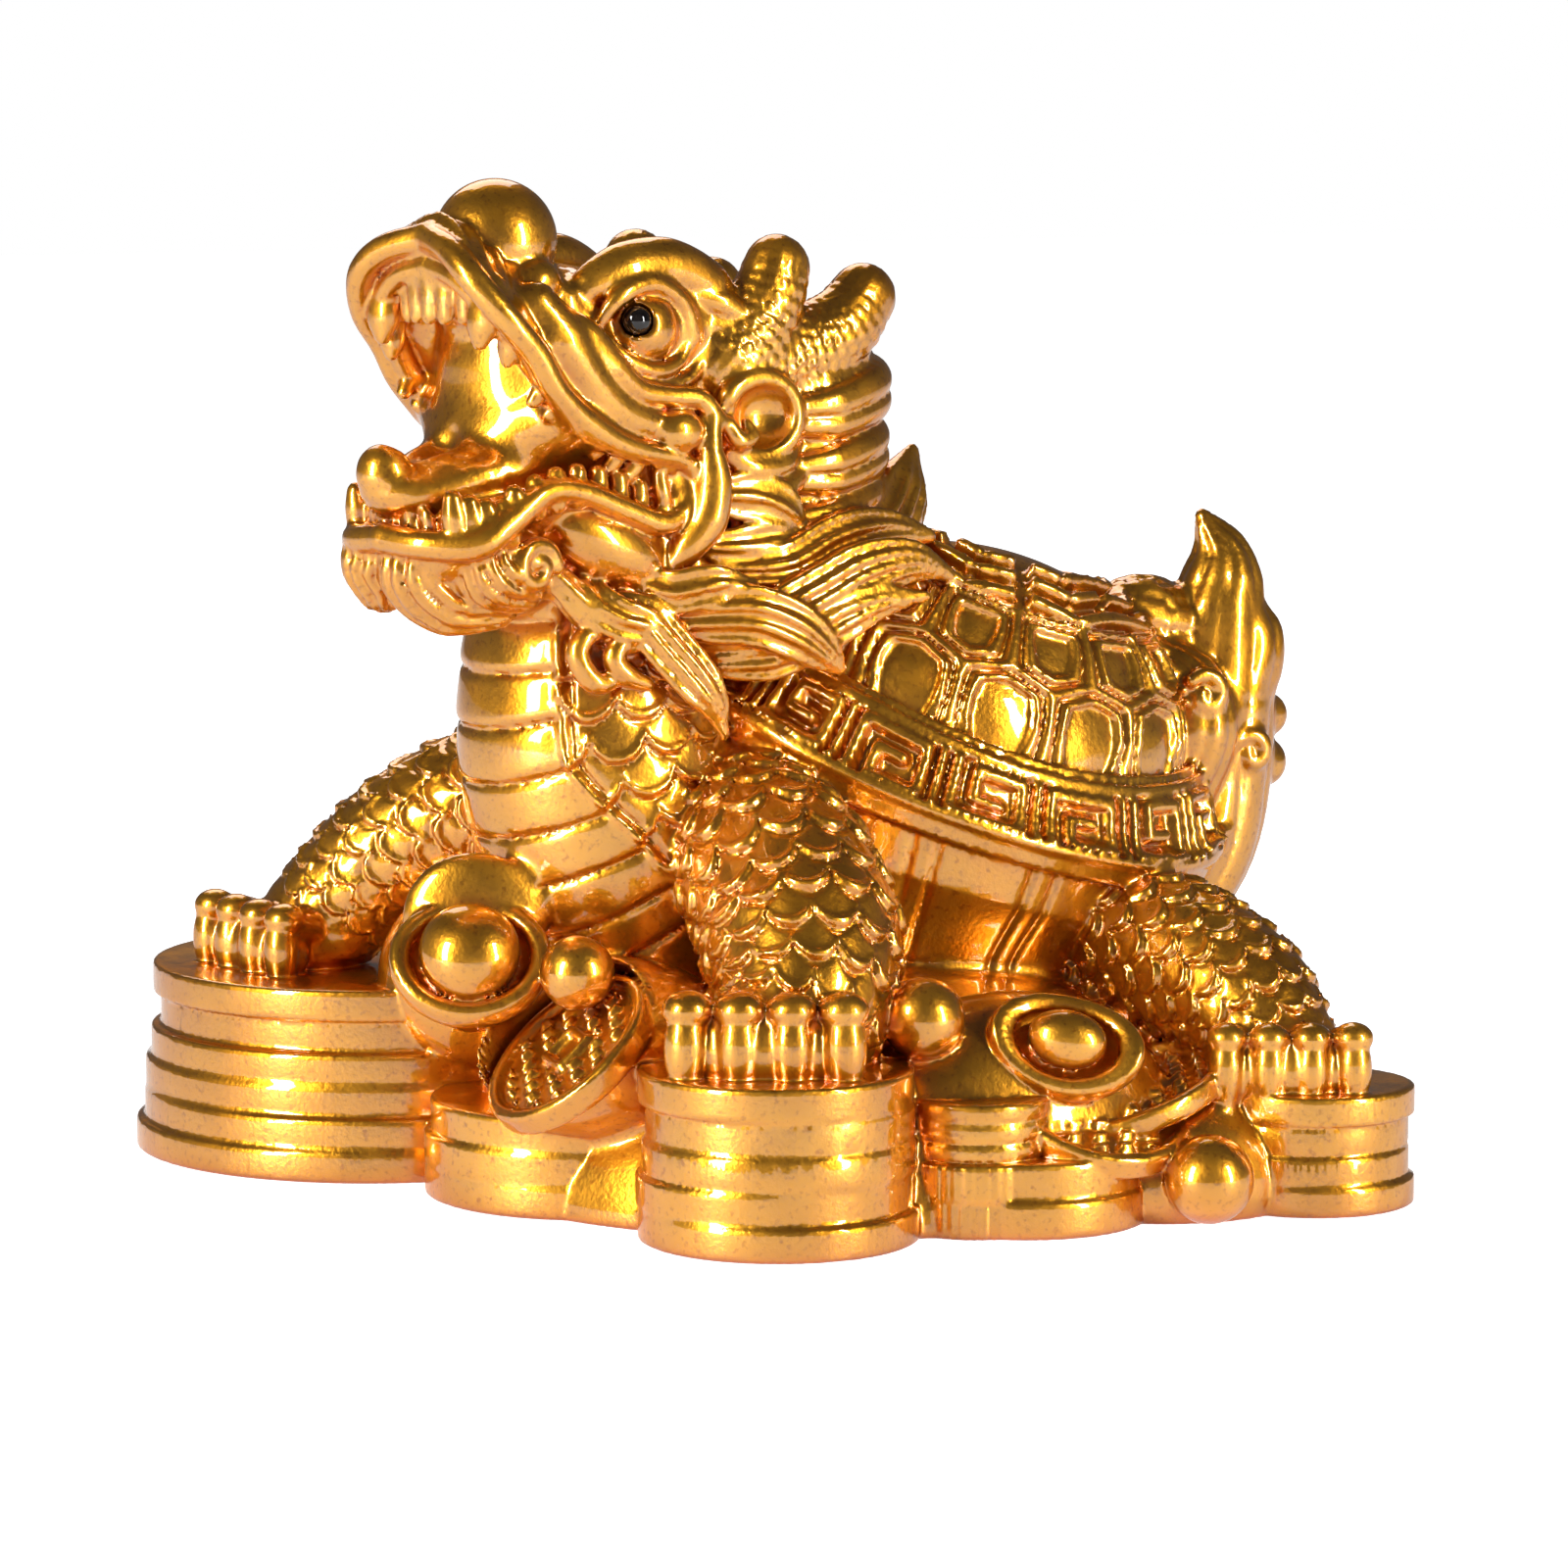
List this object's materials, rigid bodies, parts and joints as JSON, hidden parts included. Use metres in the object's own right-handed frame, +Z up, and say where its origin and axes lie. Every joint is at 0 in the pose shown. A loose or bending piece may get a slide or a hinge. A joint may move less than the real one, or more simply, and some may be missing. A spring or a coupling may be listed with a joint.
{
  "type": "tea pet figure",
  "caption": "Gold-lacquered cast tea pet: a dragon-headed turtle with open mouth, key-bordered shell and flame tail, standing on coin piles with ingots and balls.",
  "frame": {"origin": "on the table, under the middle of the bounding box", "axes": "the animal faces -Y, its left side is +X, +Z up"},
  "size_m": [0.1088, 0.1156, 0.1017],
  "materials": {
    "gold_lacquer": "glossy metallic gold lacquer over cast resin",
    "black_bead": "high gloss black"
  },
  "bodies": {
    "root": {"casting": "gold_lacquer", "pupil_left": "black_bead", "pupil_right": "black_bead"}
  },
  "joints": []
}
